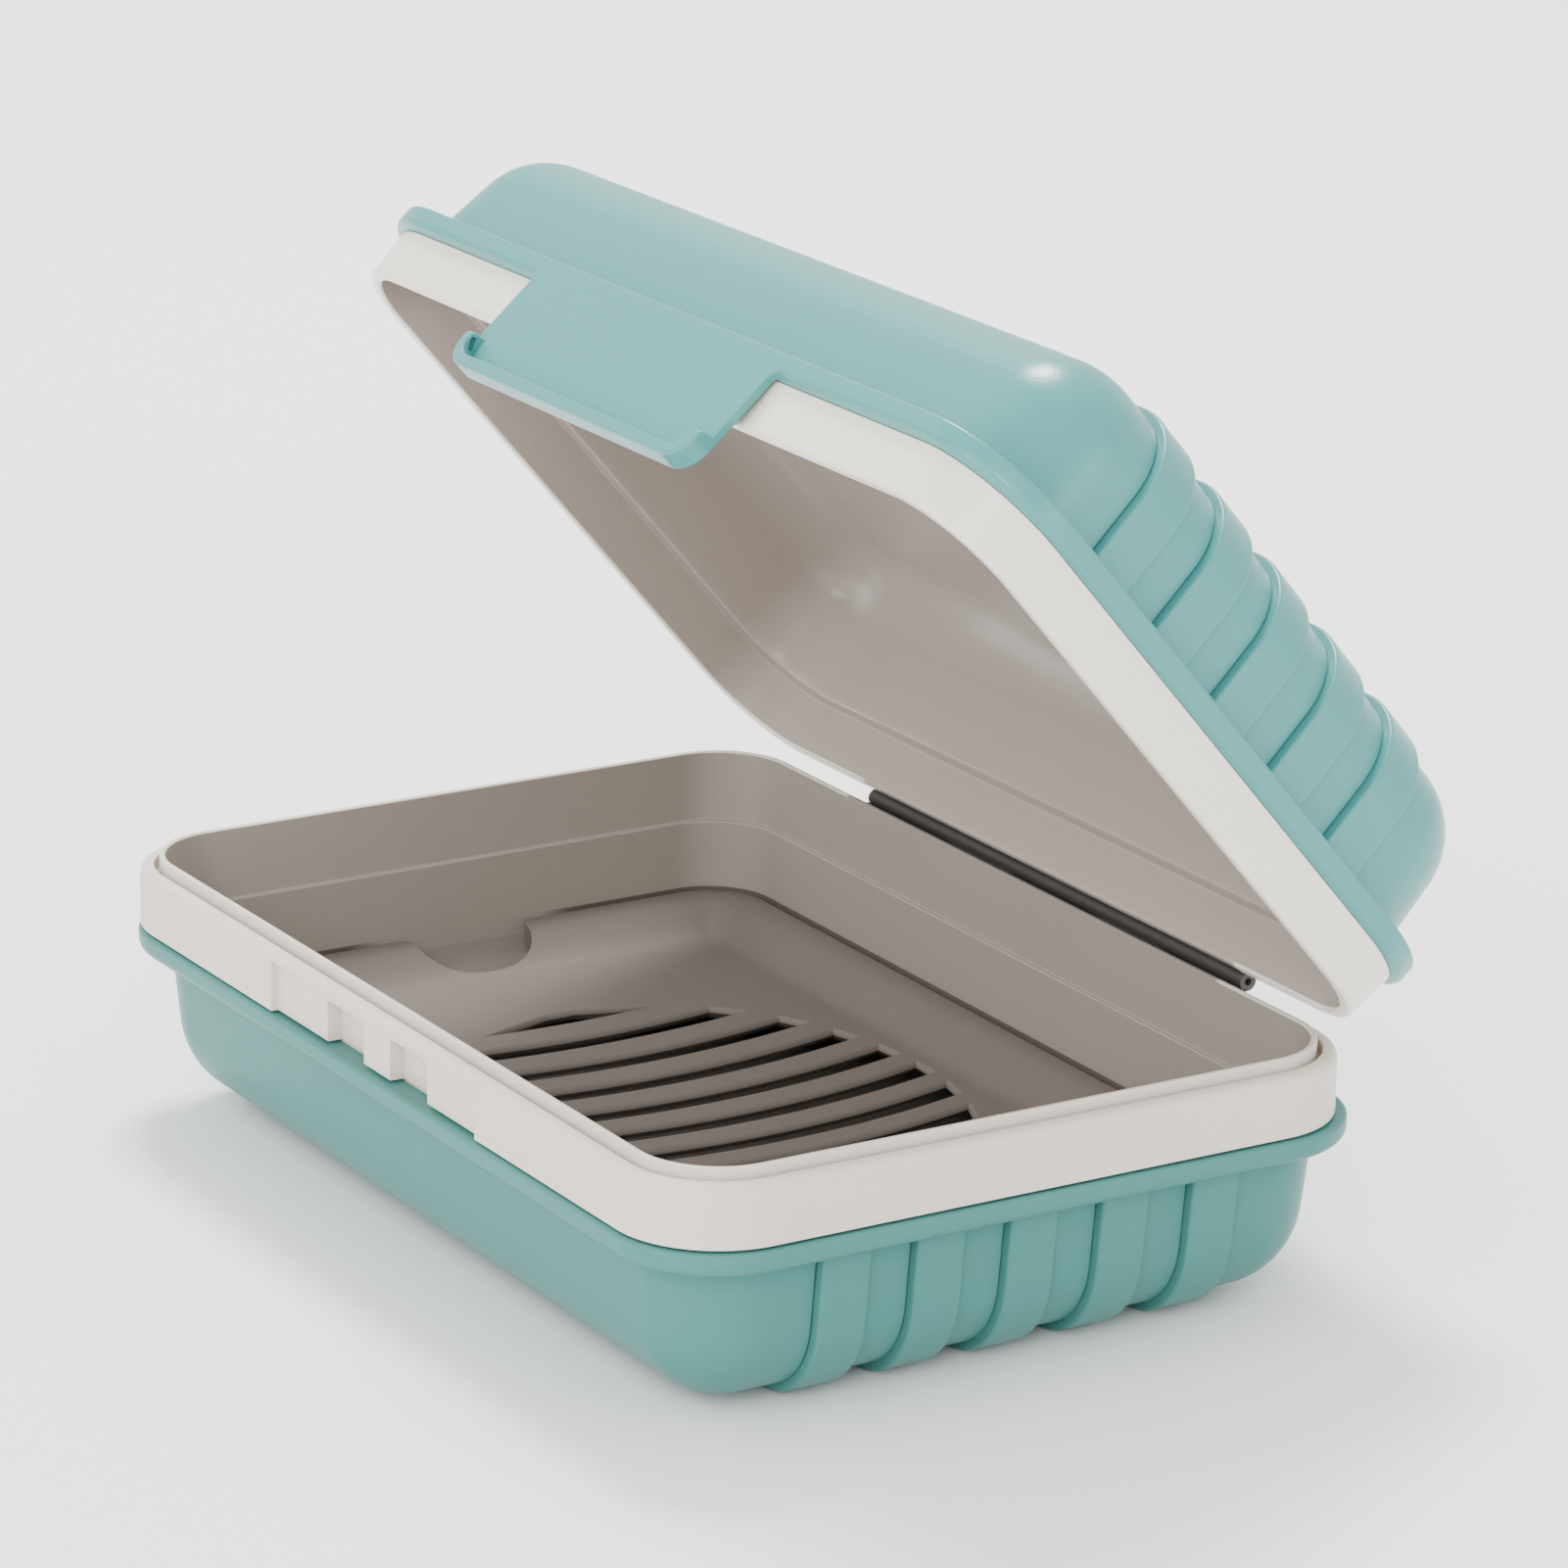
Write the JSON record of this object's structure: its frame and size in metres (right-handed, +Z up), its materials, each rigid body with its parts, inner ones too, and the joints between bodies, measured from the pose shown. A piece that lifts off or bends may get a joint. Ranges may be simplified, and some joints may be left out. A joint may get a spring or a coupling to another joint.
{
  "type": "soap dish",
  "caption": "Travel soap dish with a hinged lid, a lined base and lid, a slotted drain tray and a snap tab at the front.",
  "frame": {"origin": "under the middle of the base, on the plane that it rests on: the underside of the middle strap", "axes": "+X along the box, -Y towards the snap tab, +Y towards the hinge, +Z up"},
  "size_m": [0.1228, 0.0949, 0.0997],
  "materials": {
    "base_teal": "satin moulded plastic, teal",
    "lid_teal": "satin moulded plastic, light teal",
    "lining": "satin moulded plastic, warm off-white",
    "tray": "matt moulded plastic, warm grey",
    "hinge": "matt moulded plastic, near black",
    "pin": "drawn steel"
  },
  "bodies": {
    "base": {"base_shell": "base_teal", "base_liner": "lining", "hinge_base_leaf": "hinge", "hinge_pin": "pin"},
    "lid": {"lid_shell": "lid_teal", "lid_liner": "lining", "hinge_lid_leaf": "hinge"},
    "tab": {"snap_tab": "lid_teal"},
    "tray": {"drain_tray": "tray"}
  },
  "joints": [
    {"name": "lid_hinge", "type": "hinge", "parent": "base", "child": "lid", "pos_m": [0, 0.04185, 0.0273], "axis": [-1, 0, 0], "range_deg": [-49, 101]},
    {"name": "tab_flex", "type": "hinge", "parent": "lid", "child": "tab", "pos_m": [0, -0.00819, 0.09446], "axis": [-1, 0, 0], "range_deg": [-1, 12], "stiffness_Nm_per_rad": 0.05},
    {"name": "tray_lift", "type": "slide", "parent": "base", "child": "tray", "axis": [0, 0, 1], "range_m": [0, 0.015]}
  ]
}
